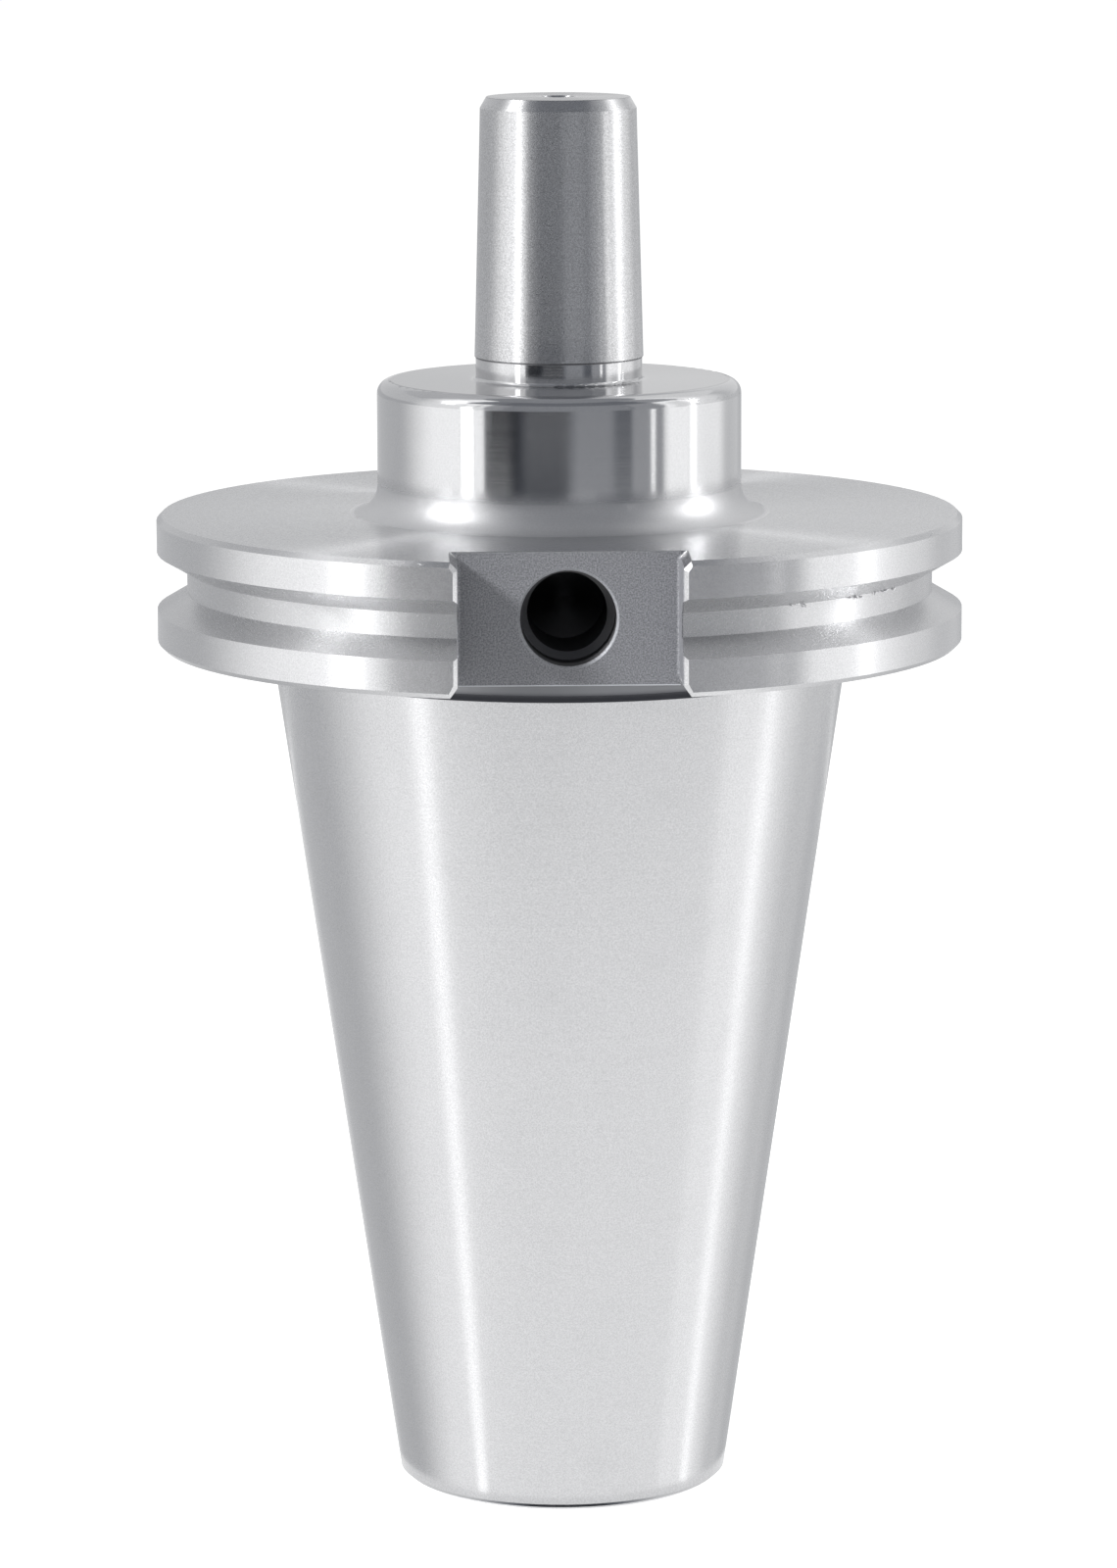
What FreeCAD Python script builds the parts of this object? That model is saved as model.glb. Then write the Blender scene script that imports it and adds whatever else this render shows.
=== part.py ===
import FreeCAD, Part

import math
import os

# A drill chuck arbor for a milling spindle, turned and ground from one steel bar. From the
# bottom up: a steep taper shank with the drawbar thread in its small end, a round flange with
# a gripper groove and two key slots, a short round boss, and a slim taper that carries the
# chuck. Millimetres. The part stands on its small end, with +Z up its axis and the origin
# in the middle of the small end. The front key slot faces -Y.

# Steep taper shank
GAUGE_DIAMETER = 69.85          # at the gauge line, where the shank seats in the spindle
SHANK_LENGTH = 101.6            # small end to gauge line
TAPER_RISE = 7.0                # the diameter grows by this much ...
TAPER_RUN = 24.0                # ... over this length
SMALL_END_CHAMFER = 0.8

# Grinding relief between the shank and the flange
RELIEF_WIDTH = 2.4
RELIEF_DEPTH = 0.7
RELIEF_CORNER = 0.4             # slant that fills its corner at the flange

# Flange and its gripper groove
GAUGE_TO_FLANGE = 3.175
FLANGE_THICKNESS = 15.875
FLANGE_DIAMETER = 98.425
FLANGE_EDGE_CHAMFER = 0.6
GROOVE_FROM_GAUGE = 11.1125     # gauge line to the middle of the groove
GROOVE_MOUTH_WIDTH = 7.05
GROOVE_DEPTH = 3.65
GROOVE_ANGLE = 60.0             # between the two flanks

# Key slots across the flange
SLOT_WIDTH = 25.9
FRONT_SLOT_TO_AXIS = 37.7       # the axis to the floor of the front slot
REAR_SLOT_TO_AXIS = 35.3
SLOT_CORNER_RADIUS = 0.4
SLOT_TOP_CHAMFER = 1.0
SLOT_ENTRY_WIDTH = 1.0          # lead-in at the rear face, where the spindle's keys enter
SLOT_ENTRY_HEIGHT = 1.4
SLOT_RIM_BEVEL = 0.65

# Balance hole in the floor of the shallow front slot, a wide mouth and a drilled hole below it
BALANCE_MOUTH_DIAMETER = 11.3
BALANCE_MOUTH_DEPTH = 5.4
BALANCE_DRILL_DIAMETER = 9.45
BALANCE_DRILL_DEPTH = 17.0
BALANCE_RIM_CHAMFER = 0.28

# Boss
BOSS_DIAMETER = 44.45
BOSS_HEIGHT = 16.25
BOSS_FILLET = 3.45              # at the flange
BOSS_EDGE_RADIUS = 1.7          # at the top edge

# Neck and chuck taper
NECK_DIAMETER = 20.3
NECK_LENGTH = 2.7
NECK_FILLET = 0.4
CHUCK_TAPER_DIAMETER = 20.6     # at its large end
CHUCK_TAPER_LENGTH = 31.5
CHUCK_TAPER_PER_LENGTH = 0.05325
CHUCK_TAPER_LOWER_BREAK = 0.1   # small chamfer where the taper ends at the neck
CHUCK_END_CHAMFER_HEIGHT = 1.34
CHUCK_END_CHAMFER_WIDTH = 0.77
CENTRE_MOUTH_DIAMETER = 4.25
CENTRE_DRILL_DIAMETER = 2.0
CENTRE_DEPTH = 4.2
CENTRE_ANGLE = 60.0

# Drawbar hole in the small end: pilot bore, thread and the end of the tap drill
PILOT_DIAMETER = 26.2
PILOT_DEPTH = 6.35
PILOT_CHAMFER = 0.8
THREAD_DIAMETER = 25.4          # over the crests of the screw that goes in
THREAD_DEPTH = 45.0             # from the small end
TAP_DRILL_DIAMETER = 22.2
TAP_DRILL_DEPTH = 52.0
DRILL_POINT_ANGLE = 118.0

# How far a cutting tool reaches past the metal it cuts
OVERCUT = 2.0

# Places worked out from the sizes above
RELIEF_BOTTOM = SHANK_LENGTH + GAUGE_TO_FLANGE - RELIEF_WIDTH
FLANGE_BOTTOM = SHANK_LENGTH + GAUGE_TO_FLANGE
FLANGE_TOP = FLANGE_BOTTOM + FLANGE_THICKNESS
GROOVE_MIDDLE = SHANK_LENGTH + GROOVE_FROM_GAUGE
BOSS_TOP = FLANGE_TOP + BOSS_HEIGHT
NECK_TOP = BOSS_TOP + NECK_LENGTH
CHUCK_END = NECK_TOP + CHUCK_TAPER_LENGTH


def shank_radius(height):
    """Radius of the steep taper at a height above its small end."""
    return GAUGE_DIAMETER / 2 + (height - SHANK_LENGTH) * TAPER_RISE / TAPER_RUN / 2


def chuck_taper_radius(height):
    """Radius of the chuck taper at a height above the small end."""
    return CHUCK_TAPER_DIAMETER / 2 - (height - NECK_TOP) * CHUCK_TAPER_PER_LENGTH / 2


def drill_point(radius):
    """Length of a drill's point of this radius."""
    return radius / math.tan(math.radians(DRILL_POINT_ANGLE / 2))


def turned(corners):
    """Solid turned about Z from (radius, height, rounding) corners, listed anticlockwise.

    A corner with a rounding gets an arc of that radius, tangent to both of its sides.
    """
    points = [FreeCAD.Vector(radius, 0, height) for radius, height, _ in corners]
    starts, ends, arcs = [], [], []
    for index, (_, _, rounding) in enumerate(corners):
        corner = points[index]
        if not rounding:
            starts.append(corner)
            ends.append(corner)
            arcs.append(None)
            continue
        before = (points[index - 1] - corner).normalize()
        after = (points[(index + 1) % len(points)] - corner).normalize()
        half_angle = before.getAngle(after) / 2
        reach = rounding / math.tan(half_angle)
        middle = (before + after).normalize()
        centre = corner + middle * (rounding / math.sin(half_angle))
        starts.append(corner + before * reach)
        ends.append(corner + after * reach)
        arcs.append(Part.Arc(starts[-1], centre - middle * rounding, ends[-1]))
    edges = []
    for index, arc in enumerate(arcs):
        if arc:
            edges.append(arc.toShape())
        following = starts[(index + 1) % len(starts)]
        if ends[index].distanceToPoint(following) > 1e-7:
            edges.append(Part.LineSegment(ends[index], following).toShape())
    face = Part.Face(Part.Wire(edges))
    return face.revolve(FreeCAD.Vector(0, 0, 0), FreeCAD.Vector(0, 0, 1), 360)


def shank_corners():
    """Outline of the steep taper and the grinding relief above it."""
    small_end = shank_radius(0)
    relief = shank_radius(RELIEF_BOTTOM) - RELIEF_DEPTH
    return [
        (0, 0, 0),
        (small_end - SMALL_END_CHAMFER, 0, 0),
        (shank_radius(SMALL_END_CHAMFER), SMALL_END_CHAMFER, 0),
        (shank_radius(RELIEF_BOTTOM), RELIEF_BOTTOM, 0),
        (relief, RELIEF_BOTTOM + RELIEF_DEPTH, 0),
        (relief, FLANGE_BOTTOM - RELIEF_CORNER, 0),
        (relief + RELIEF_CORNER, FLANGE_BOTTOM, 0),
    ]


def flange_corners():
    """Outline of the flange, with the gripper groove between its two rims."""
    rim = FLANGE_DIAMETER / 2
    root = rim - GROOVE_DEPTH
    mouth_half = GROOVE_MOUTH_WIDTH / 2
    root_half = mouth_half - GROOVE_DEPTH * math.tan(math.radians(GROOVE_ANGLE / 2))
    return [
        (rim - FLANGE_EDGE_CHAMFER, FLANGE_BOTTOM, 0),
        (rim, FLANGE_BOTTOM + FLANGE_EDGE_CHAMFER, 0),
        (rim, GROOVE_MIDDLE - mouth_half, 0),
        (root, GROOVE_MIDDLE - root_half, 0),
        (root, GROOVE_MIDDLE + root_half, 0),
        (rim, GROOVE_MIDDLE + mouth_half, 0),
        (rim, FLANGE_TOP - FLANGE_EDGE_CHAMFER, 0),
        (rim - FLANGE_EDGE_CHAMFER, FLANGE_TOP, 0),
    ]


def boss_and_chuck_taper_corners():
    """Outline of the boss, the neck and the chuck taper, up to the axis."""
    end = chuck_taper_radius(CHUCK_END - CHUCK_END_CHAMFER_HEIGHT)
    return [
        (BOSS_DIAMETER / 2, FLANGE_TOP, BOSS_FILLET),
        (BOSS_DIAMETER / 2, BOSS_TOP, BOSS_EDGE_RADIUS),
        (NECK_DIAMETER / 2, BOSS_TOP, NECK_FILLET),
        (NECK_DIAMETER / 2, NECK_TOP, 0),
        (CHUCK_TAPER_DIAMETER / 2 - CHUCK_TAPER_LOWER_BREAK, NECK_TOP, 0),
        (
            chuck_taper_radius(NECK_TOP + CHUCK_TAPER_LOWER_BREAK),
            NECK_TOP + CHUCK_TAPER_LOWER_BREAK,
            0,
        ),
        (end, CHUCK_END - CHUCK_END_CHAMFER_HEIGHT, 0),
        (end - CHUCK_END_CHAMFER_WIDTH, CHUCK_END, 0),
        (0, CHUCK_END, 0),
    ]


def slot_outline(depth, spread=0.0):
    """Outline of a key slot, seen from outside, as a wire at this distance from the axis.

    The walls stand upright in the middle, and lean outwards at both faces of the flange.
    spread moves the whole outline outwards.
    """
    half = SLOT_WIDTH / 2
    entry_slope = SLOT_ENTRY_WIDTH / SLOT_ENTRY_HEIGHT
    below = FLANGE_BOTTOM - OVERCUT
    above = FLANGE_TOP + OVERCUT
    right = [
        (half + SLOT_ENTRY_WIDTH + OVERCUT * entry_slope, below),
        (half, FLANGE_BOTTOM + SLOT_ENTRY_HEIGHT),
        (half, FLANGE_TOP - SLOT_TOP_CHAMFER),
        (half + SLOT_TOP_CHAMFER + OVERCUT, above),
    ]
    left = [(-x, z) for x, z in reversed(right)]
    corners = [FreeCAD.Vector(x, -depth, z) for x, z in right + left]
    outline = Part.makePolygon(corners + corners[:1])
    if spread:
        outline = outline.makeOffset2D(spread, join=2)
    return outline


def key_slot(floor):
    """Cutting tool for one key slot in the front of the flange, with its floor this far out."""
    rim = FLANGE_DIAMETER / 2
    outside = FreeCAD.Vector(0, floor - rim - OVERCUT, 0)
    slot = Part.Face(slot_outline(floor)).extrude(outside)
    middle = (FLANGE_BOTTOM + FLANGE_TOP) / 2
    wall_edges = [
        edge
        for edge in slot.Edges
        if abs(edge.CenterOfMass.y + floor) < 1e-6
        and abs(edge.CenterOfMass.z - middle) < FLANGE_THICKNESS / 2 + OVERCUT - 1e-6
    ]
    slot = slot.makeFillet(SLOT_CORNER_RADIUS, wall_edges)
    wall_end = math.sqrt(rim ** 2 - (SLOT_WIDTH / 2 + SLOT_TOP_CHAMFER / 2) ** 2)
    bevel_start = wall_end - SLOT_RIM_BEVEL
    bevel_reach = SLOT_RIM_BEVEL + OVERCUT
    bevel = Part.makeLoft(
        [slot_outline(bevel_start), slot_outline(bevel_start + bevel_reach, bevel_reach)],
        True,
        True,
    )
    return slot.fuse(bevel)


def balance_hole():
    """Cutting tool for the balance hole, from the floor of the front slot towards the axis."""
    mouth = BALANCE_MOUTH_DIAMETER / 2
    drill = BALANCE_DRILL_DIAMETER / 2
    hole = turned([
        (0, -OVERCUT, 0),
        (mouth + BALANCE_RIM_CHAMFER + OVERCUT, -OVERCUT, 0),
        (mouth, BALANCE_RIM_CHAMFER, 0),
        (mouth, BALANCE_MOUTH_DEPTH, 0),
        (drill, BALANCE_MOUTH_DEPTH + drill_point(mouth) - drill_point(drill), 0),
        (drill, BALANCE_DRILL_DEPTH, 0),
        (0, BALANCE_DRILL_DEPTH + drill_point(drill), 0),
    ])
    hole.rotate(FreeCAD.Vector(0, 0, 0), FreeCAD.Vector(1, 0, 0), -90)
    hole.translate(FreeCAD.Vector(0, -FRONT_SLOT_TO_AXIS, (FLANGE_BOTTOM + FLANGE_TOP) / 2))
    return hole


def drawbar_hole():
    """Cutting tool for the pilot bore, the thread and the tap drill, up from the small end."""
    pilot = PILOT_DIAMETER / 2
    thread = THREAD_DIAMETER / 2
    drill = TAP_DRILL_DIAMETER / 2
    return turned([
        (0, -OVERCUT, 0),
        (pilot + PILOT_CHAMFER + OVERCUT, -OVERCUT, 0),
        (pilot, PILOT_CHAMFER, 0),
        (pilot, PILOT_DEPTH, 0),
        (thread, PILOT_DEPTH, 0),
        (thread, THREAD_DEPTH, 0),
        (drill, THREAD_DEPTH + thread - drill, 0),
        (drill, TAP_DRILL_DEPTH, 0),
        (0, TAP_DRILL_DEPTH + drill_point(drill), 0),
    ])


def centre_hole():
    """Cutting tool for the centre hole in the end of the chuck taper."""
    mouth = CENTRE_MOUTH_DIAMETER / 2
    drill = CENTRE_DRILL_DIAMETER / 2
    slope = math.tan(math.radians(CENTRE_ANGLE / 2))
    cone_depth = (mouth - drill) / slope
    return turned([
        (0, CHUCK_END - CENTRE_DEPTH - drill_point(drill), 0),
        (drill, CHUCK_END - CENTRE_DEPTH, 0),
        (drill, CHUCK_END - cone_depth, 0),
        (mouth + OVERCUT * slope, CHUCK_END + OVERCUT, 0),
        (0, CHUCK_END + OVERCUT, 0),
    ])


def arbor():
    """The whole arbor, one solid: turned outline, then slots and holes."""
    body = turned(shank_corners() + flange_corners() + boss_and_chuck_taper_corners())
    front_slot = key_slot(FRONT_SLOT_TO_AXIS)
    rear_slot = key_slot(REAR_SLOT_TO_AXIS)
    rear_slot.rotate(FreeCAD.Vector(0, 0, 0), FreeCAD.Vector(0, 0, 1), 180)
    for tool in (front_slot, rear_slot, balance_hole(), drawbar_hole(), centre_hole()):
        body = body.cut(tool)
    return body.removeSplitter()


def save(shape, node):
    """Writes one piece as a STEP file named after its node, and prints its figures."""
    solid = shape.Solids[0]
    print(node, "solids", len(shape.Solids), "valid", shape.isValid(), "volume", round(solid.Volume, 1))
    solid.exportStep(os.path.join("parts", node + ".step"))


os.makedirs("parts", exist_ok=True)
save(arbor(), "arbor")
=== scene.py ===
"""Dresses the steel arbor: its ground, turned and milled finishes, the thread in its small end,
the burrs and marks on its flange, and the pale studio that it stands in."""

import math

import bpy
import numpy as np
from mathutils import Matrix, Vector


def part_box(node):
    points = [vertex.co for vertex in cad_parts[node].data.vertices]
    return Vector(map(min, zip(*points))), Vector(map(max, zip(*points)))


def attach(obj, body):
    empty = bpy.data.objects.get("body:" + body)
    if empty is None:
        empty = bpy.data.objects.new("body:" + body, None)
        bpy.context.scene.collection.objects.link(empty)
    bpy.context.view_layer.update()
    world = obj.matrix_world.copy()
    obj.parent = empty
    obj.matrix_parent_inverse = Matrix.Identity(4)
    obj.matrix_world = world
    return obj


bl_info = {
    "name": "Steel Arbor Workshop",
    "version": (1, 0, 0),
    "blender": (4, 5, 0),
    "location": "View3D > Sidebar > Arbor",
    "description": "Finishes a steep taper arbor and sets up its studio",
    "category": "Object",
}

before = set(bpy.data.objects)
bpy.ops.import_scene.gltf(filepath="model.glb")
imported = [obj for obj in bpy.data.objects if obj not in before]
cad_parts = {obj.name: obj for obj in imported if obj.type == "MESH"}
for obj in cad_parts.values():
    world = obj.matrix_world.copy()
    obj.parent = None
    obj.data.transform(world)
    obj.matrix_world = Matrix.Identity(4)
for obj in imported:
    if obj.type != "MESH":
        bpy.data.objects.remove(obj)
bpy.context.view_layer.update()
LOWEST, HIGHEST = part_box("arbor")
BODY = "root"
MM = 0.001

# Heights in metres. The small end's face is at 0.
SMALL_END, CHUCK_END = LOWEST.z, HIGHEST.z
SHANK_TOP = 102.375 * MM
FLANGE_BOTTOM = 104.775 * MM
FLANGE_TOP = 120.65 * MM
GROOVE_MIDDLE = 112.7125 * MM
BOSS_TOP = 136.9 * MM
NECK_TOP = 139.6 * MM
BORE_END = 53.0 * MM
TENT_TOP = 1.1

# Distances from the axis in metres.
FLANGE_RADIUS = HIGHEST.x
GROOVE_ROOT = 45.5625 * MM
FRONT_SLOT_FLOOR = 37.7 * MM
REAR_SLOT_FLOOR = 35.3 * MM
SLOT_SIDE = 12.95 * MM
BOSS_RADIUS = 22.225 * MM
BOSS_FOOT = 25.675 * MM
NECK_RADIUS = 10.15 * MM
CENTRE_HOLE_RADIUS = 2.125 * MM
BORE_RADIUS = 13.1 * MM
SMALL_END_RADIUS = 20.1 * MM

# The balance hole's radius from its own axis, and how fast the shank's radius grows with height.
BALANCE_HOLE_RADIUS = 5.65 * MM
SHANK_SLOPE = 7 / 48


class ThreadSizes(bpy.types.PropertyGroup):
    outside_diameter: bpy.props.FloatProperty(
        name="Outside diameter",
        description="Across the roots of the female thread, at the bore's wall",
        default=25.4 * MM, unit="LENGTH",
    )
    pitch: bpy.props.FloatProperty(
        name="Pitch", description="Rise of the ridge in one turn, 8 threads an inch",
        default=3.175 * MM, unit="LENGTH",
    )
    depth: bpy.props.FloatProperty(
        name="Depth", description="Height of the ridge above the bore's wall",
        default=1.72 * MM, unit="LENGTH",
    )
    start: bpy.props.FloatProperty(
        name="Start", description="Height of the ridge's first end above the small end's face",
        default=7.9 * MM, unit="LENGTH",
    )
    end: bpy.props.FloatProperty(
        name="End", description="Height of the ridge's last end",
        default=43.4 * MM, unit="LENGTH",
    )


class SteelFinish(bpy.types.PropertyGroup):
    steel: bpy.props.FloatVectorProperty(
        name="Steel", description="Colour of the bare ground steel",
        default=(0.62, 0.622, 0.632), size=3, subtype="COLOR", min=0, max=1,
    )
    milled: bpy.props.FloatVectorProperty(
        name="Milled steel", description="Colour of the duller milled slots",
        default=(0.292, 0.297, 0.318), size=3, subtype="COLOR", min=0, max=1,
    )
    # A brighter copy of the steel for the slivers, a painted glint.
    burr_glint: bpy.props.FloatVectorProperty(
        name="Torn steel", description="Colour of the bright slivers on the edges",
        default=(0.93, 0.93, 0.94), size=3, subtype="COLOR", min=0, max=1,
    )
    # Painted shade: the insides of the balance hole and the bore are darkened in colour.
    drilled: bpy.props.FloatVectorProperty(
        name="Drilled steel", description="Colour inside the drilled holes, dark with oil and scale",
        default=(0.12, 0.12, 0.125), size=3, subtype="COLOR", min=0, max=1,
    )
    anisotropy: bpy.props.FloatProperty(
        name="Lay", description="How much the turning and grinding marks stretch a reflection",
        default=0.6, min=0, max=1, subtype="FACTOR",
    )
    lay_height: bpy.props.FloatProperty(
        name="Mark height", description="Height of the fine turning and grinding marks",
        default=0.0016 * MM, unit="LENGTH",
    )


class Studio(bpy.types.PropertyGroup):
    camera_distance: bpy.props.FloatProperty(
        name="Camera distance", description="From the arbor's axis to the camera, along the floor",
        default=749.53 * MM, unit="LENGTH",
    )
    camera_height: bpy.props.FloatProperty(
        name="Camera height", description="Height of the camera above the floor",
        default=214.82 * MM, unit="LENGTH",
    )
    camera_azimuth: bpy.props.FloatProperty(
        name="Camera azimuth", description="Turn of the camera round the axis, from straight in front",
        default=math.radians(-1.56), unit="ROTATION",
    )
    camera_pitch: bpy.props.FloatProperty(
        name="Camera pitch", description="How far down the camera looks",
        default=math.radians(9.695), unit="ROTATION",
    )
    camera_roll: bpy.props.FloatProperty(
        name="Camera roll", description="Lean of the camera about its line of sight",
        default=math.radians(0.18), unit="ROTATION",
    )
    camera_pan: bpy.props.FloatProperty(
        name="Camera pan", description="Turn of the camera to the left of the axis",
        default=math.radians(0.0164), unit="ROTATION",
    )
    lens: bpy.props.FloatProperty(
        name="Lens", description="Focal length in millimetres on a 36 mm sensor",
        default=141.715, min=1,
    )
    card_radius: bpy.props.FloatProperty(
        name="Card radius", description="Distance of the light and dark cards from the axis",
        default=0.45, unit="LENGTH",
    )
    floor_radius: bpy.props.FloatProperty(
        name="Floor radius", description="Size of the pale floor",
        default=8.0, unit="LENGTH",
    )


def grid_corners(index):
    """The four corners of each cell between neighbours in a grid of point numbers."""
    corners = (index[:-1, :-1], index[:-1, 1:], index[1:, 1:], index[1:, :-1])
    return np.stack(corners, -1).reshape(-1, 4)


def point_numbers(points, wrap_across):
    """The points' numbers, row by row. wrap_across repeats the first column after the last."""
    rows, columns = points.shape[:2]
    index = np.arange(rows * columns).reshape(rows, columns)
    return np.hstack([index, index[:, :1]]) if wrap_across else index


def surface(name, points, wrap_across=False):
    """A mesh over a grid of points: points[i, j] is the surface at its two parameters, and each
    cell between four neighbours is one face. wrap_across joins the last column to the first."""
    faces = grid_corners(point_numbers(points, wrap_across))
    return mesh_object(name, points.reshape(-1, 3), faces.tolist())


def capped_tube(points):
    """The points and faces of a tube: points[i] is its i-th ring, each ring is joined to the next,
    and the first and the last are closed by a flat face."""
    index = point_numbers(points, True)
    faces = grid_corners(index)[:, [0, 3, 2, 1]].tolist()
    faces += [index[0, :-1].tolist(), index[-1, -2::-1].tolist()]
    return points.reshape(-1, 3), faces


def mesh_object(name, points, faces, smooth=True):
    """An object at the origin whose mesh has these points, in metres, and these faces."""
    mesh = bpy.data.meshes.new(name)
    mesh.from_pydata(np.asarray(points, float).tolist(), [], faces)
    mesh.polygons.foreach_set("use_smooth", [smooth] * len(mesh.polygons))
    mesh.update()
    piece = bpy.data.objects.new(name, mesh)
    bpy.context.scene.collection.objects.link(piece)
    return piece


def keep_on_arbor(piece, material):
    """Gives a new piece its finish, and makes it move with the arbor."""
    piece.data.materials.append(material)
    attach(piece, BODY)


class Value:
    """A number that changes over a surface. Sums, products and the like add Math nodes."""

    def __init__(self, recipe, socket):
        self.recipe, self.socket = recipe, socket

    def math(self, operation, *numbers):
        return self.recipe.value(
            "ShaderNodeMath", {"operation": operation}, dict(enumerate(numbers))
        )

    def __add__(self, other):
        return self.math("ADD", self, other)

    def __sub__(self, other):
        return self.math("SUBTRACT", self, other)

    def __mul__(self, other):
        return self.math("MULTIPLY", self, other)

    def __rsub__(self, other):
        return self.math("SUBTRACT", other, self)

    def __pow__(self, other):
        return self.math("POWER", self, other)

    def __abs__(self):
        return self.math("ABSOLUTE", self)

    __radd__, __rmul__ = __add__, __mul__

    def most(self, other):
        return self.math("MAXIMUM", self, other)

    def least(self, other):
        return self.math("MINIMUM", self, other)

    def rising(self, low, high):
        """0 below low, 1 above high, and smooth between them."""
        settings = {"interpolation_type": "SMOOTHSTEP"}
        return self.recipe.value("ShaderNodeMapRange", settings, {0: self, 1: low, 2: high})

    def falling(self, low, high):
        """1 below low, 0 above high, and smooth between them."""
        return 1 - self.rising(low, high)

    def within(self, low, high, soft):
        """1 between low and high, 0 outside, with edges that are soft wide."""
        return self.rising(low - soft, low + soft) * self.falling(high - soft, high + soft)


class Recipe:
    """The node tree of a new material, or of the world that is handed in, built node by node."""

    def __init__(self, name, owner=None):
        self.material = owner or bpy.data.materials.new(name)
        self.material.use_nodes = True
        self.tree = self.material.node_tree
        self.tree.nodes.clear()

    def node(self, kind, settings=None, sockets=None):
        """Any node: its settings first, then its sockets' numbers, colours or links."""
        node = self.tree.nodes.new(kind)
        for name, setting in (settings or {}).items():
            setattr(node, name, setting)
        for key, given in (sockets or {}).items():
            self.give(node.inputs[key], given)
        return node

    def give(self, socket, given):
        if isinstance(given, Value):
            given = given.socket
        if isinstance(given, bpy.types.NodeSocket):
            self.tree.links.new(given, socket)
        else:
            socket.default_value = given

    def value(self, kind, settings=None, sockets=None, output=0):
        return Value(self, self.node(kind, settings, sockets).outputs[output])

    def place(self):
        """The point's own coordinates in metres, as a vector and as x, y and z."""
        vector = self.value("ShaderNodeTexCoord", output="Object")
        split = self.node("ShaderNodeSeparateXYZ", sockets={0: vector})
        return vector, *(Value(self, socket) for socket in split.outputs)

    def vector(self, x, y, z):
        return self.value("ShaderNodeCombineXYZ", sockets={0: x, 1: y, 2: z})

    def noise(self, vector, scale, detail=2.0, roughness=0.5):
        """Smooth random values about 0.5."""
        sockets = {"Vector": vector, "Scale": scale, "Detail": detail, "Roughness": roughness}
        return self.value("ShaderNodeTexNoise", {"noise_dimensions": "3D"}, sockets)

    def colour_mix(self, factor, first, second):
        """first where factor is 0, second where it is 1. Both are colours or colour values."""
        pair = [tuple(c) + (1,) if isinstance(c, (tuple, list)) else c for c in (first, second)]
        sockets = {0: factor, 6: pair[0], 7: pair[1]}
        return self.value("ShaderNodeMix", {"data_type": "RGBA"}, sockets, output=2)

    def seen(self):
        """1 for the camera's own rays, reflections and what shows through, and 0 for the rest."""
        path = self.node("ShaderNodeLightPath")
        rays = ("Is Camera Ray", "Is Glossy Ray", "Is Transmission Ray")
        camera, glossy, through = (Value(self, path.outputs[ray]) for ray in rays)
        return (camera + glossy + through).least(1)

    def finish(self, shader):
        self.node("ShaderNodeOutputMaterial", sockets={"Surface": shader})
        return self.material


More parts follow.
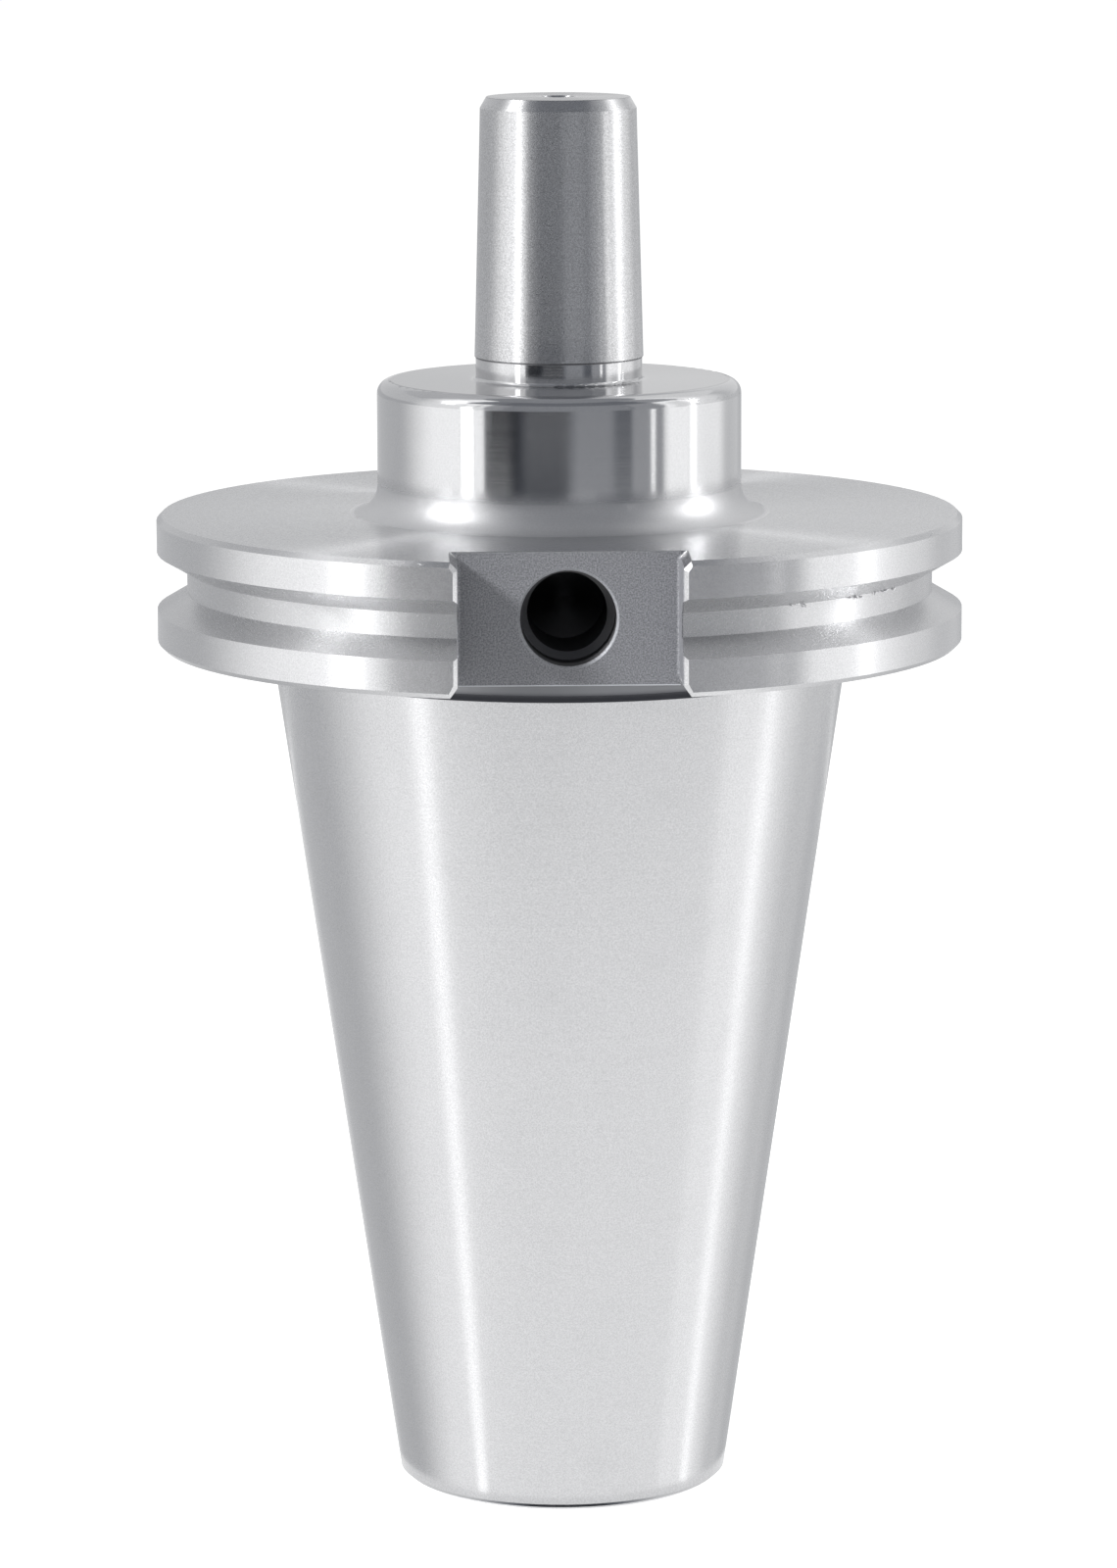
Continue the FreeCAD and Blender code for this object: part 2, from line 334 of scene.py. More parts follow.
class Zones:
    """Where each machining cut left its finish, and where shade and highlights are painted, as masks
    between 0 and 1. A mask's edge lies a little beside the cut's own, so that it never shows on a
    neighbour."""

    def __init__(self, recipe):
        self.where, self.x, self.y, self.z = recipe.place()
        x, y, z = self.x, self.y, self.z
        self.r = r = (x * x + y * y) ** 0.5
        edge = 0.05 * MM

        outside = r.rising(BORE_RADIUS + 1.5 * MM, BORE_RADIUS + 2.1 * MM)
        self.shank = z.falling(SHANK_TOP - edge, SHANK_TOP + edge) * outside
        # The relief groove under the flange; the colour table gives it painted shade.
        self.relief = z.within(SHANK_TOP, FLANGE_BOTTOM, edge) * outside
        # Painted shade: the foot of the relief, next to the shank, is darkened.
        self.corner = self.relief * z.falling(SHANK_TOP + 0.3 * MM, SHANK_TOP + 1.2 * MM)

        between_sides = abs(x).falling(SLOT_SIDE + 0.1 * MM, SLOT_SIDE + 0.15 * MM)
        in_slot = between_sides * abs(y).rising(REAR_SLOT_FLOOR - 0.7 * MM, REAR_SLOT_FLOOR - 0.5 * MM)
        self.slot = z.within(FLANGE_BOTTOM + edge, FLANGE_TOP - 2 * edge, edge) * in_slot
        in_land = FLANGE_RADIUS - 0.0125 * MM
        in_groove = z.within(GROOVE_MIDDLE - 3.8 * MM, GROOVE_MIDDLE + 3.8 * MM, edge)
        in_groove = in_groove * r.falling(in_land - edge, in_land)
        in_groove = in_groove * r.rising(GROOVE_ROOT - 0.5 * MM, GROOVE_ROOT - 0.3 * MM)
        self.groove = in_groove * (1 - self.slot)
        beside_boss = r.rising(BOSS_FOOT - 0.075 * MM, BOSS_FOOT + 0.125 * MM)
        self.face = z.rising(FLANGE_TOP - edge, FLANGE_TOP) * beside_boss

        beside_neck = r.rising(NECK_RADIUS + 0.45 * MM, NECK_RADIUS + 0.85 * MM)
        self.boss = z.within(FLANGE_TOP + edge, BOSS_TOP + edge, edge) * beside_neck
        # The boss's top face, which the colour table gives painted shade.
        self.top = z.rising(BOSS_TOP - edge, BOSS_TOP - edge / 2) * self.boss
        foot = z.falling(FLANGE_TOP + 2 * MM, FLANGE_TOP + 5.5 * MM) * self.boss
        self.fillet = foot * r.rising(BOSS_RADIUS - 0.7 * MM, BOSS_RADIUS - 0.4 * MM)
        self.neck = z.within(BOSS_TOP + edge, NECK_TOP, edge)
        # Painted shade: the thin dark line in the step between the neck and the chuck taper, which is
        # also rougher.
        self.seam = z.within(NECK_TOP - 0.12 * MM, NECK_TOP + 0.12 * MM, edge)

        round_hole = r.rising(CENTRE_HOLE_RADIUS + 0.175 * MM, CENTRE_HOLE_RADIUS + 0.375 * MM)
        chuck = z.rising(NECK_TOP - edge, NECK_TOP + edge) * round_hole
        self.taper = chuck * z.falling(CHUCK_END - 0.9 * MM, CHUCK_END - 0.7 * MM)
        # The chuck's end face, which the colour table gives painted shade.
        self.end = chuck * z.rising(CHUCK_END - 0.1 * MM, CHUCK_END - 0.02 * MM)

        drop = z - GROOVE_MIDDLE
        hole = (x * x + drop * drop) ** 0.5
        inside = y.within(0.32 * MM - FRONT_SLOT_FLOOR, -15 * MM, 0.03 * MM)
        self.balance = hole.falling(BALANCE_HOLE_RADIUS + 0.25 * MM, BALANCE_HOLE_RADIUS + 0.35 * MM)
        self.balance = self.balance * inside
        # Painted highlight: a bright line along the slot's lower edge and, fainter, round the balance
        # hole's rim.
        rim = hole.within(BALANCE_HOLE_RADIUS + 0.01 * MM, BALANCE_HOLE_RADIUS + 0.31 * MM, 0.02 * MM)
        rim = rim * y.falling(0.3 * MM - FRONT_SLOT_FLOOR, 0.4 * MM - FRONT_SLOT_FLOOR)
        lower_edge = z.within(FLANGE_BOTTOM + 0.03 * MM, FLANGE_BOTTOM + 0.15 * MM, 0.02 * MM)
        self.sharp = (lower_edge + rim * 0.3).least(1) * in_slot

        bore = r.falling(BORE_RADIUS + 0.1 * MM, BORE_RADIUS + 0.2 * MM)
        bore = bore * z.falling(BORE_END, BORE_END + 6 * MM)
        self.bore = bore * z.rising(SMALL_END + 0.7 * MM, SMALL_END + 0.9 * MM)

    def varied(self, level, changes):
        """level everywhere, with each named zone's own change added inside that zone."""
        for zone, change in changes.items():
            level = getattr(self, zone) * change + level
        return level


# Roughness of the ground steel, and how much rougher or smoother each zone is.
ROUGHNESS = 0.23
ROUGHER = {
    "shank": -0.01, "groove": 0.05, "relief": 0.15, "boss": -0.115, "taper": 0.03, "neck": -0.13,
    "fillet": 0.32, "slot": 0.25, "balance": 0.2, "bore": 0.2, "seam": 0.3,
}
# How strongly the fine grain shows as light and dark, and how much more or less in each zone.
CONTRAST = 0.3
GRAINIER = {"shank": 0.08, "taper": 0.6, "face": 0.45, "boss": -0.15}
# Share of the surface that is deeper marks, and how much more or less in each zone.
DEEP_SHARE = 0.05
DEEPER = {"face": 0.14, "groove": 0.2, "boss": -0.04, "neck": -0.04}
DEEP_ROUGHNESS = 0.42
# How much less metallic than bare steel each zone looks.
DULLER = {"slot": -0.6, "fillet": -0.06}
# Painted light, zone by zone: how far each zone goes over to its painted colour, and that colour.
# Painted shade in the step below the chuck taper, on the chuck's end face, on the boss's top, over the
# relief and darkest in its corner; a painted highlight along the slot's lower edge and the hole's rim.
PAINTED_SHADE_AND_GLINT = {
    "seam": (0.7, (0.16, 0.16, 0.17)),
    "end": (0.45, (0.26, 0.26, 0.265)),
    "top": (0.54, (0.26, 0.26, 0.265)),
    "sharp": (1, (0.72, 0.74, 0.78)),
    "relief": (1, (0.36, 0.365, 0.38)),
    "corner": (1, (0.1, 0.103, 0.115)),
}


def shade_of(colour, share):
    """The colour made lighter or darker by this share."""
    return tuple(share * c for c in colour)


def steel_material(name, finish, base=None):
    """Hardened steel. Fine lines run round the axis where it is ground or turned, because their
    height is noise of (x, y, a long way up z + r), which changes fast across them only. A share of
    the surface is deeper marks, which carry a lamp's reflection far along the radius."""
    recipe = Recipe(name)
    zones = Zones(recipe)
    x, y, z, r = zones.x, zones.y, zones.z, zones.r
    across = z + r * 0.83
    lines = recipe.noise(recipe.vector(x * 22, y * 22, across * 5200), 1.0, 3.0, 0.65)
    broad = recipe.noise(recipe.vector(x * 9, y * 9, across * 700), 1.0, 2.0, 0.5)
    mottle = recipe.noise(zones.where, 130.0, 3.0, 0.55)
    grain = recipe.noise(zones.where, 5200.0, 2.0, 0.7)
    mills = recipe.noise(recipe.vector(x * 350, y * 900, z * 2600), 1.0, 3.0, 0.6)

    roughness = zones.varied(ROUGHNESS, ROUGHER)
    roughness = roughness + (mottle - 0.5) * 0.02 + (broad - 0.5) * 0.02 + (grain - 0.5) * 0.08
    roughness = roughness.most(0.08).least(0.8)

    steel, milled, drilled = (
        tuple(colour) for colour in (base or finish.steel, finish.milled, finish.drilled)
    )
    speck = (grain * 0.9 + lines * 0.1).rising(0.34, 0.66)
    contrast = zones.varied(CONTRAST, GRAINIER)
    colour = recipe.colour_mix(
        0.36 + (speck - 0.36) * contrast, shade_of(steel, 1.16), shade_of(steel, 0.74)
    )
    colour = recipe.colour_mix(mottle.rising(0.5, 0.85) * 0.12, colour, shade_of(steel, 0.7))
    sanded = recipe.colour_mix(speck, shade_of(milled, 1.3), shade_of(milled, 0.66))
    colour = recipe.colour_mix(zones.slot, colour, sanded)
    # Painted shade and painted highlights, zone by zone.
    for zone, (share, painted_tone) in PAINTED_SHADE_AND_GLINT.items():
        colour = recipe.colour_mix(getattr(zones, zone) * share, colour, painted_tone)
    # Painted shade inside the balance hole and, less, inside the bore.
    colour = recipe.colour_mix((zones.balance + zones.bore * 0.7).least(1), colour, drilled)

    turned_height = (lines - 0.5) + (broad - 0.5)
    milled_height = (mills - 0.5) * 1.6
    height = turned_height * (1 - zones.slot) + milled_height * zones.slot + (grain - 0.5) * 0.5
    bump = recipe.value(
        "ShaderNodeBump", sockets={"Strength": 1.0, "Distance": finish.lay_height, "Height": height}
    )
    metallic = zones.varied(1, DULLER)
    fine, deep = (
        recipe.node(
            "ShaderNodeBsdfPrincipled",
            sockets={
                "Base Color": colour,
                "Metallic": metallic,
                "Roughness": how_rough,
                "Anisotropic": stretch,
                "Anisotropic Rotation": 0.25,
                "Normal": bump,
            },
        )
        for how_rough, stretch in ((roughness, finish.anisotropy), (DEEP_ROUGHNESS, 1.0))
    )
    share = zones.varied(DEEP_SHARE, DEEPER) * (1 - zones.slot)
    both = recipe.node(
        "ShaderNodeMixShader", sockets={0: share, 1: fine.outputs[0], 2: deep.outputs[0]}
    )
    return recipe.finish(both.outputs[0])


class ARBOR_OT_finish_steel(bpy.types.Operator):
    """Gives the arbor its ground, turned, milled and drilled finishes, and its painted shade and
    highlights
    """

    bl_idname = "arbor.finish_steel"
    bl_label = "Finish Steel"

    def execute(self, context):
        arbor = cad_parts["arbor"]
        material = steel_material("hardened_steel", context.scene.arbor_finish)
        if not arbor.material_slots:
            raise RuntimeError("the arbor has no material slot to fill")
        for slot in arbor.material_slots:
            slot.material = material
        return {"FINISHED"}


STEPS_IN_A_TURN = 72


def thread_ridge(sizes):
    """The female thread's ridge: a four-cornered profile carried along a helix. At angle t the
    profile's middle is at height start + pitch * t / turn, and its corners are at the bore's wall
    and at wall - depth * rise(t), where rise goes smoothly from 0 to 1 in the first half turn and
    back in the last. A flat face closes each end."""
    turns = (sizes.end - sizes.start) / sizes.pitch
    steps = int(STEPS_IN_A_TURN * turns)
    t = np.linspace(0, 2 * math.pi * turns, steps)
    ends = np.minimum(t, t[-1] - t) / math.pi
    rise = np.clip(ends, 0.03, 1)
    rise = rise * rise * (3 - 2 * rise)
    wall = sizes.outside_diameter / 2 + 0.02 * MM
    crest = wall - sizes.depth * rise
    foot, top = sizes.pitch * 7 / 16, sizes.pitch / 8
    middle = sizes.start + sizes.pitch * t / (2 * math.pi)
    half_foot = foot * np.clip(rise, 0.1, 1)
    radius = np.stack([wall + 0 * t, crest, crest, wall + 0 * t], 1)
    height = middle[:, None] + np.stack([-half_foot, -top * rise, top * rise, half_foot], 1)
    points = np.stack([radius * np.cos(t)[:, None], radius * np.sin(t)[:, None], height], -1)
    return capped_tube(points)


class ARBOR_OT_cut_thread(bpy.types.Operator):
    """Adds the ridge of the female thread inside the small end"""

    bl_idname = "arbor.cut_thread"
    bl_label = "Cut Thread"

    def execute(self, context):
        points, faces = thread_ridge(context.scene.arbor_thread)
        piece = mesh_object("drawbar_thread_ridge", points, faces, smooth=False)
        material = steel_material("threaded_steel", context.scene.arbor_finish)
        keep_on_arbor(piece, material)
        return {"FINISHED"}


# Slivers that the tools left on sharp edges: azimuth in degrees from the front, growing to the
# right, then height, distance from the axis, length and thickness in millimetres.
BURRS = (
    (34.6, 114.10, 45.58, 0.5, 0.24),
    (35.8, 114.16, 45.58, 0.7, 0.30),
    (37.1, 114.02, 45.58, 0.4, 0.21),
    (46.9, 114.16, 45.58, 0.9, 0.33),
    (48.2, 114.22, 45.60, 0.6, 0.36),
    (49.6, 113.95, 45.58, 0.5, 0.24),
    (53.4, 114.18, 45.58, 0.8, 0.36),
    (54.7, 114.26, 45.62, 0.7, 0.33),
    (56.4, 114.05, 45.58, 0.6, 0.27),
    (58.9, 114.16, 45.58, 0.9, 0.21),
    (-24.8, 120.34, 48.93, 0.6, 0.10),
    (-23.0, 120.38, 48.97, 0.4, 0.09),
    (-20.6, 120.33, 48.93, 0.9, 0.08),
    (63.2, 120.42, 49.00, 0.4, 0.10),
    (-18.8, 106.30, 39.76, 0.5, 0.22),
    (-18.9, 105.90, 39.74, 0.4, 0.16),
)
BURR_SEED = 11
RINGS_IN_A_SLIVER = 17
POINTS_IN_A_RING = 8


def sliver(azimuth, height, distance, length, thickness, draws):
    """A curl of steel along a circle round the axis. At share t of its length it stands off the
    edge by thickness times a sum of three sines of t with random sizes and phases, and is about
    thickness / 2 * sin(pi t) in radius, so that both of its ends are thin."""
    t = np.linspace(0, 1, RINGS_IN_A_SLIVER)
    sizes, phases = draws.normal(size=(2, 3, 1)), draws.uniform(0, 2 * math.pi, (2, 3, 1))
    turns = np.arange(1, 4)[None, :, None]
    off, lift = (sizes * np.sin(math.pi * turns * t + phases) / turns).sum(1)
    out = distance + thickness * (0.2 + 0.6 * np.abs(off))
    turn = math.radians(azimuth) + (t - 0.5) * length / distance
    outward = np.stack([np.sin(turn), -np.cos(turn), 0 * turn], -1)[:, None, :]
    upward = np.array([0, 0, 1.0])
    girth = (thickness / 2 * np.sin(math.pi * (0.04 + 0.92 * t)))[:, None, None]
    round_about = np.linspace(0, 2 * math.pi, POINTS_IN_A_RING, endpoint=False)[None, :, None]
    middle = outward * out[:, None, None] + upward * (height + thickness * 0.7 * lift)[:, None, None]
    points = middle + girth * (np.cos(round_about) * outward + np.sin(round_about) * upward)
    return capped_tube(points)


class ARBOR_OT_leave_burrs(bpy.types.Operator):
    """Adds the slivers of steel that cutting left along the groove, the rim and the slot"""

    bl_idname = "arbor.leave_burrs"
    bl_label = "Leave Burrs"

    def execute(self, context):
        draws = np.random.default_rng(BURR_SEED)
        points, faces = [], []
        for azimuth, *sizes in BURRS:
            sizes = [size * MM for size in sizes]
            new_points, new_faces = sliver(azimuth, *sizes, draws)
            start = sum(len(part) for part in points)
            points.append(new_points)
            faces += [[start + corner for corner in face] for face in new_faces]
        piece = mesh_object("edge_burrs", np.concatenate(points), faces)
        finish = context.scene.arbor_finish
        # The slivers get the brighter steel colour, a painted glint.
        keep_on_arbor(piece, steel_material("burr_glint_steel", finish, finish.burr_glint))
        return {"FINISHED"}


def painted_light(angle, height, base, patches):
    """Brightness round the axis, at azimuths in degrees: base, then each patch paints its level
    over what is there, between its two azimuths, with a smooth edge of its own width at each, and
    between its two heights in millimetres."""
    light = np.full(angle.shape, float(base))
    for low, high, soft_low, soft_high, level, *band in patches:
        cover = smooth((angle - low) / soft_low + 0.5) * smooth((high - angle) / soft_high + 0.5)
        if band:
            bottom, top, soft = (size * MM for size in band)
            cover *= smooth((height - bottom) / soft + 0.5) * smooth((top - height) / soft + 0.5)
        light += cover * (level - light)
    return light


def smooth(t):
    """0 below 0, 1 above 1, and 3tt - 2ttt between them."""
    t = np.clip(t, 0, 1)
    return t * t * (3 - 2 * t)


def between(number, low, high):
    """0 below low, 1 above high, and smooth between them. With low above high it falls."""
    return smooth((number - low) / (high - low))


# Brightness below which the room's tint sets in, and what it takes from red, green and blue.
ROOM_LIGHT = 0.25
ROOM_TINT = (0.12, 0.02, -0.22)


def shining(piece, light, sampled=False):
    """Makes a stage piece shine with its own brightness at each point, in reflections only. The
    darker it is the bluer it is, as an unlit room is beside white cards."""
    shade = np.exp(-light.ravel()[:, None] / ROOM_LIGHT)
    colours = np.ones((light.size, 4))
    colours[:, :3] = light.ravel()[:, None] * (1 - shade * np.array(ROOM_TINT))
    attribute = piece.data.attributes.new("light", "FLOAT_COLOR", "POINT")
    attribute.data.foreach_set("color", colours.ravel())
    recipe = Recipe(piece.name)
    strength = recipe.value("ShaderNodeAttribute", {"attribute_name": "light"}, output="Color")
    shader = recipe.node("ShaderNodeEmission", sockets={"Color": strength, "Strength": 1.0})
    material = recipe.finish(shader.outputs[0])
    material.cycles.emission_sampling = "AUTO" if sampled else "NONE"
    piece.data.materials.append(material)
    for ray in ("camera", "diffuse", "transmission", "volume_scatter", "shadow"):
        setattr(piece, f"visible_{ray}", False)


def round_wall(name, angles, heights, radius, columns, rows):
    """Part of an upright cylinder round the axis: azimuth a, 0 in front and growing to the right,
    and height h give the point (radius * sin a, -radius * cos a, h)."""
    azimuth = np.linspace(*angles, columns)[:, None] + np.zeros((1, rows))
    height = np.linspace(*heights, rows)[None, :] + np.zeros((columns, 1))
    turn = np.radians(azimuth)
    points = np.stack([radius * np.sin(turn), -radius * np.cos(turn), height], -1)
    return surface(name, points), azimuth, height


def round_mat(name, radii, height, columns=361, rings=9):
    """A flat ring: azimuth a and distance d give the point (d * sin a, -d * cos a, height)."""
    azimuth = np.linspace(-180, 180, columns)[None, :]
    distance = np.linspace(*radii, rings)[:, None]
    turn = np.radians(azimuth)
    flat = np.full((rings, columns), height)
    points = np.stack([distance * np.sin(turn), -distance * np.cos(turn), flat], -1)
    return surface(name, points), azimuth + 0 * distance, distance + 0 * azimuth


def mirrored_mat(name, camera, height, reach):
    """A mat on the floor whose lines run straight up the shank as the camera sees them. The shank
    point at turn t and height h is (R sin t, -R cos t, h), with R growing 7 in 48 with h. The line
    of sight d turns into d - 2 (d . n) n there, n being the shank's normal, and the mat's point is
    where that meets the floor, or as far as it may reach. It has the brightness of azimuth 2 t."""
    turn = np.radians(np.linspace(-86, 86, 345))[:, None]
    on_shank, above_shank = np.geomspace(1.2 * MM, SHANK_TOP, 30), np.linspace(0.106, 0.18, 12)
    level = np.concatenate([on_shank, above_shank])[None]
    radius = SMALL_END_RADIUS + SHANK_SLOPE * level
    spread = np.zeros((turn.size, level.size))
    point = np.stack([radius * np.sin(turn), -radius * np.cos(turn), level + spread], -1)
    normal = np.stack([np.sin(turn) + spread, -np.cos(turn) + spread, spread - SHANK_SLOPE], -1)
    normal /= np.linalg.norm(normal, axis=-1, keepdims=True)
    sight = point - np.array(camera)
    sight /= np.linalg.norm(sight, axis=-1, keepdims=True)
    ray = sight - 2 * (sight * normal).sum(-1, keepdims=True) * normal
    down = np.minimum(ray[..., 2], -0.02)
    travel = np.minimum((height - point[..., 2]) / down, reach)[..., None]
    points = point + ray * travel
    points[..., 2] = height
    return surface(name, points), np.degrees(2 * turn) + spread, level + spread


# Each patch: from azimuth, to azimuth, softness at each, brightness, and, where it doesn't run the
# whole height, from height, to height and softness there. A later patch covers an earlier one.
TENT_LIGHT = 0.74
TENT_PATCHES = (
    (-180, 180, 1, 1, 0.46, 360, 1200, 140),
    (-180, -146, 1, 20, 1.04, 120, 320, 50),
    (146, 180, 20, 1, 0.84, 120, 320, 50),
    (-168, -112, 20, 24, 0.60),
    (-100, -48, 36, 3, 1.36),
    (-104, -48, 30, 3, 0.96, 200, 360, 40),
    (-96, -48, 16, 3, 1.08, 110, 400, 8),
    (-175, -98, 14, 30, 0.54, 105, 172, 16),
    (-180, -98, 1, 30, 0.68, 172, 400, 12),
    (-48, 66, 3, 4, 0.13, 66, 1200, 8),
    (-48, -31, 3, 10, 0.98, 0, 61, 6),
    (-31, 6, 10, 16, 0.12, 0, 64, 6),
    (6, 66, 16, 4, 0.54, 0, 64, 6),
    (36, 66, 16, 4, 0.72, 0, 50, 6),
    (-48, 5, 3, 6, 0.02, 64, 130, 10),
    (-24, 8, 10, 8, 0.60, 82, 89, 6),
    (-49, -44, 1.5, 3, 0.95, 104, 480, 10),
    (8, 32, 6, 8, 0.32, 64, 112, 8),
    (44, 66, 4, 4, 0.38, 66, 1200, 8),
    (56.8, 60, 1, 1, 1.5, 64, 128, 8),
    (-48, -32, 3, 16, 0.42, 130, 1200, 24),
    (-32, 44, 10, 4, 0.31, 130, 1200, 24),
    (6, 34, 10, 10, 0.33, 112, 1200, 16),
    (66, 160, 4, 30, 0.90),
    (68, 104, 6, 24, 1.36),
    (96, 122, 10, 18, 1.24, 68, 103, 6),
    (74, 122, 8, 20, 1.00, 110, 400, 8),
    (124, 176, 16, 8, 0.71, 0, 96, 16),
    (124, 176, 20, 8, 0.66, 105, 400, 16),
    (140, 180, 20, 1, 0.80, 172, 400, 12),
    (152, 180, 12, 1, 0.56, 0, 160, 12),
    (-71, -46, 2, 3, 0.26, 480, 1200, 60),
    (-46, 65, 3, 3, 0.20, 480, 1200, 60),
    (65, 96, 3, 8, 0.40, 480, 1200, 60),
)
TABLE_LIGHT = 1.14
TABLE_PATCHES = (
    (-180, 180, 1, 1, 1.06, 78, 104, 20),
    (-92, -40, 30, 60, 1.17),
    (-63.5, -56.5, 3, 3, 1.72),
    (-165, -100, 30, 44, 0.62),
    (66, 97, 5, 6, 1.25),
    (86.5, 93.5, 3.5, 3.5, 1.62),
    (108, 170, 22, 14, 0.78),
    (134, 180, 16, 1, 0.61),
    (-50, 66, 4, 6, 0.12, 132, 400, 12),
)
CEILING_LIGHT = 0.32
WORLD_LIGHT = 0.27

# In metres: between the tent and the cards beside it, a strip's lowest and highest points, and
# the heights between which it grows dimmer.
CARD_GAP = 0.02
STRIP_HEIGHTS = (0.01, 0.45)
STRIP_DIMMING = (0.18, 0.28)


def left_strip(radius):
    """A tall bright card on the left, soft at both sides and dimmer higher up."""
    strip, azimuth, height = round_wall("left_strip", (-65, -55), STRIP_HEIGHTS, radius, 21, 56)
    upper = between(height, *STRIP_DIMMING)
    shining(strip, (3.0 - 1.7 * upper) * between(abs(azimuth + 60), 5, 3.5), sampled=True)


def right_strip(radius):
    """A tall card on the right with a bright line down its middle. Beyond the line it is dimmer
    from 100 mm up, and all of it is dimmer higher up."""
    strip, azimuth, height = round_wall("right_strip", (85, 96), STRIP_HEIGHTS, radius, 45, 56)
    upper = between(height, *STRIP_DIMMING)
    fading = 0.3 * between(azimuth, 91, 95) * between(height, 0.1, 0.12)
    line = between(abs(azimuth - 90.2), 3.6, 0.6)
    light = 1.24 - fading - 0.2 * upper + (1.2 - 0.7 * upper) * line
    shining(strip, light, sampled=True)


def floor_shade():
    """A ring on the floor round the foot of the shank, dark close to it and most so in front. The
    small end's chamfer reflects it as a thin dark line."""
    shade, azimuth, distance = round_mat("floor_shade", (18.5 * MM, 22.5 * MM), 0.3 * MM)
    in_front = 0.25 + 0.75 * between(abs(azimuth), 40, 10)
    shining(shade, 0.98 - 0.95 * between(distance, 20.6 * MM, 20.0 * MM) * in_front)


def pale_floor(radius):
    """A disc: rings at growing radii, each point (radius * cos t, radius * sin t, 0). Diffuse, so
    that it keeps the arbor's shadow, with enough of its own light to read as white."""
    rings = np.concatenate([[0.001], np.geomspace(0.02, radius, 24)])[:, None]
    turn = np.linspace(0, 2 * math.pi, 96, endpoint=False)[None, :]
    points = np.stack([rings * np.cos(turn), rings * np.sin(turn), 0 * rings * turn], -1)
    floor = surface("studio_floor", points, wrap_across=True)
    recipe = Recipe("pale_floor")
    matt = recipe.node("ShaderNodeBsdfDiffuse", sockets={"Color": (0.5, 0.5, 0.5, 1)})
    own = recipe.node("ShaderNodeEmission", sockets={"Color": (1, 1, 1, 1), "Strength": 0.88})
    none = recipe.node("ShaderNodeEmission", sockets={"Strength": 0.0})
    lit = recipe.node(
        "ShaderNodeMixShader", sockets={0: recipe.seen(), 1: none.outputs[0], 2: own.outputs[0]}
    )
    both = recipe.node("ShaderNodeAddShader", sockets={0: matt.outputs[0], 1: lit.outputs[0]})
    floor.data.materials.append(recipe.finish(both.outputs[0]))


def white_world(diffuse_level):
    """White for the camera and in reflections, and plain daylight for everything else."""
    world = bpy.data.worlds.new("studio_white")
    recipe = Recipe("studio_white", world)
    plain, white = (
        recipe.node("ShaderNodeBackground", sockets={"Color": (1, 1, 1, 1), "Strength": level})
        for level in (diffuse_level, 1.0)
    )
    mix = recipe.node(
        "ShaderNodeMixShader", sockets={0: recipe.seen(), 1: plain.outputs[0], 2: white.outputs[0]}
    )
    recipe.node("ShaderNodeOutputWorld", sockets={"Surface": mix.outputs[0]})
    bpy.context.scene.world = world


def soft_lamp(name, place, aim, size, watts, shiny):
    """A rectangular area lamp at place that shines towards aim, seen in reflections if shiny."""
    data = bpy.data.lights.new(name, "AREA")
    data.shape, data.energy = "RECTANGLE", watts
    data.size, data.size_y = size
    lamp = bpy.data.objects.new(name, data)
    bpy.context.scene.collection.objects.link(lamp)
    aimed = (Vector(aim) - Vector(place)).to_track_quat("-Z", "Y")
    lamp.matrix_world = Matrix.Translation(place) @ aimed.to_matrix().to_4x4()
    lamp.visible_glossy = shiny


# Name, azimuth and elevation in degrees, width and height in metres, watts, and whether the
# steel reflects it.
ROUND_LAMPS = (
    ("slot_lamp", -58, 32, (0.1, 0.1), 8.5, False),
    ("key_lamp", -80, 34, (0.025, 0.3), 2.8, True),
    ("fill_lamp", 98, 20, (0.025, 0.3), 1.9, True),
)
LAMP_DISTANCE = 0.9


def round_lamp(name, azimuth, elevation, size, watts, shiny):
    """A lamp placed round the flange by its azimuth and elevation, and aimed at it."""
    turn, lift = math.radians(azimuth), math.radians(elevation)
    flange = Vector((0, 0, FLANGE_TOP))
    ray = Vector((math.sin(turn) * math.cos(lift), -math.cos(turn) * math.cos(lift), math.sin(lift)))
    soft_lamp(name, flange + ray * LAMP_DISTANCE, flange, size, watts, shiny)


def camera_place(studio):
    """Where the camera stands, from its azimuth, its distance from the axis and its height."""
    turn, distance = studio.camera_azimuth, studio.camera_distance
    return distance * math.sin(turn), -distance * math.cos(turn), studio.camera_height


def studio_camera(studio):
    """The photograph's camera, from its place round the axis, pitch, roll and pan."""
    data = bpy.data.cameras.new("studio_camera")
    data.lens, data.sensor_width, data.clip_start = studio.lens, 36.0, 0.01
    camera = bpy.data.objects.new("studio_camera", data)
    bpy.context.scene.collection.objects.link(camera)
    level = math.pi / 2
    camera.matrix_world = (
        Matrix.Translation(camera_place(studio))
        @ Matrix.Rotation(studio.camera_azimuth, 4, "Z")
        @ Matrix.Rotation(level, 4, "X")
        @ Matrix.Rotation(-studio.camera_pitch, 4, "X")
        @ Matrix.Rotation(-studio.camera_roll, 4, "Z")
        @ Matrix.Rotation(studio.camera_pan, 4, "Y")
    )
    bpy.context.scene.camera = camera


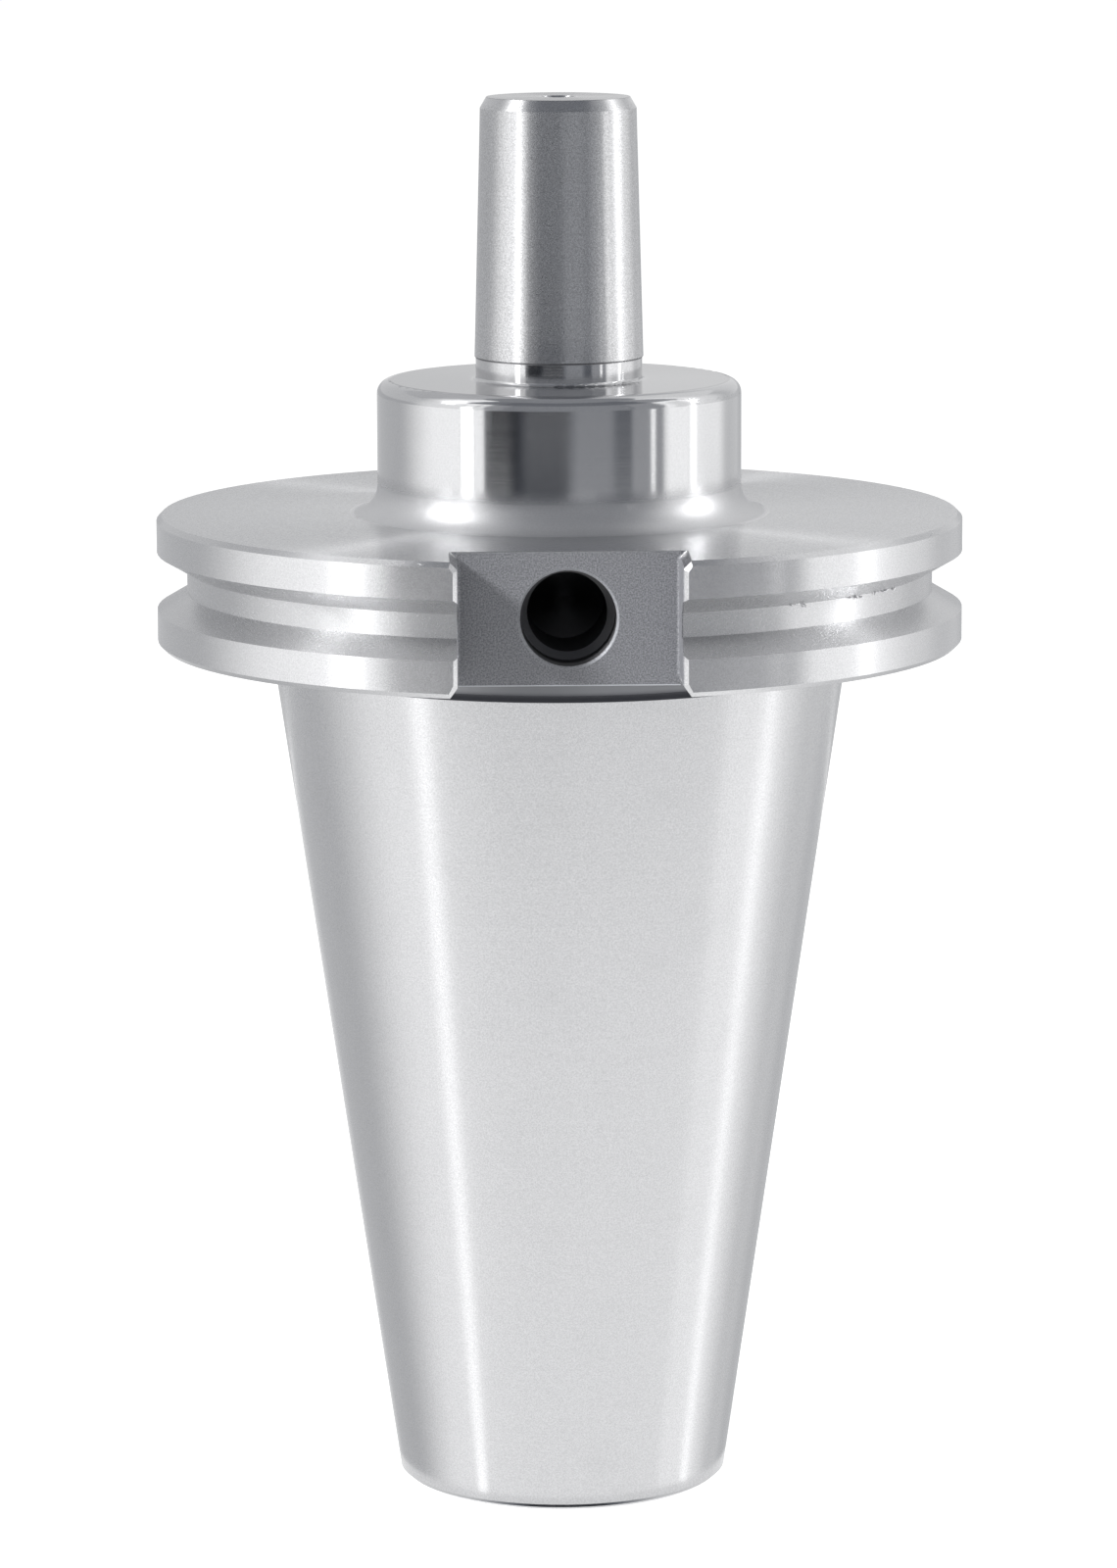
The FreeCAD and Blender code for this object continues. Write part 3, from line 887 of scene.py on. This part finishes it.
class ARBOR_OT_set_studio(bpy.types.Operator):
    """Sets up the pale floor, the light and dark cards, the lamps, the world and the camera"""

    bl_idname = "arbor.set_studio"
    bl_label = "Set Studio"

    def execute(self, context):
        studio = context.scene.arbor_studio
        near = studio.card_radius
        heights = (2 * MM, TENT_TOP)
        tent, azimuth, height = round_wall("light_tent", (-180, 180), heights, near, 721, 221)
        shining(tent, painted_light(azimuth, height, TENT_LIGHT, TENT_PATCHES))
        table, azimuth, height = mirrored_mat(
            "light_table", camera_place(studio), 0.2 * MM, near - CARD_GAP
        )
        shining(table, painted_light(azimuth, height, TABLE_LIGHT, TABLE_PATCHES))
        floor_shade()
        ceiling, azimuth, _ = round_mat("light_ceiling", (0.0, near + CARD_GAP), TENT_TOP)
        shining(ceiling, np.full(azimuth.shape, CEILING_LIGHT))
        left_strip(near - CARD_GAP)
        right_strip(near - CARD_GAP)
        for lamp in ROUND_LAMPS:
            round_lamp(*lamp)
        soft_lamp("top_lamp", (0.1, -0.5, 1.3), (0, 0, 0.05), (0.6, 0.6), 3.0, shiny=False)
        pale_floor(studio.floor_radius)
        white_world(WORLD_LIGHT)
        studio_camera(studio)
        view = context.scene.view_settings
        view.view_transform = "Standard"
        return {"FINISHED"}


class ARBOR_PT_workshop(bpy.types.Panel):
    """The arbor's steps, in the order in which they are made"""

    bl_label = "Arbor"
    bl_idname = "ARBOR_PT_workshop"
    bl_space_type = "VIEW_3D"
    bl_region_type = "UI"
    bl_category = "Arbor"

    def draw(self, context):
        for group in ("arbor_finish", "arbor_thread", "arbor_studio"):
            settings = getattr(context.scene, group)
            box = self.layout.box()
            for name in settings.__annotations__:
                box.prop(settings, name)
        for step in STEPS:
            self.layout.operator(step.bl_idname)


GROUPS = {"arbor_finish": SteelFinish, "arbor_thread": ThreadSizes, "arbor_studio": Studio}
STEPS = (ARBOR_OT_finish_steel, ARBOR_OT_cut_thread, ARBOR_OT_leave_burrs, ARBOR_OT_set_studio)


def register():
    for shown in (*GROUPS.values(), *STEPS, ARBOR_PT_workshop):
        bpy.utils.register_class(shown)
    for name, group in GROUPS.items():
        setattr(bpy.types.Scene, name, bpy.props.PointerProperty(type=group))


def unregister():
    for name in GROUPS:
        delattr(bpy.types.Scene, name)
    for shown in (ARBOR_PT_workshop, *reversed(STEPS), *reversed(GROUPS.values())):
        bpy.utils.unregister_class(shown)


def main():
    register()
    for step in STEPS:
        group, name = step.bl_idname.split(".")
        getattr(getattr(bpy.ops, group), name)()


if __name__ == "__main__":
    main()
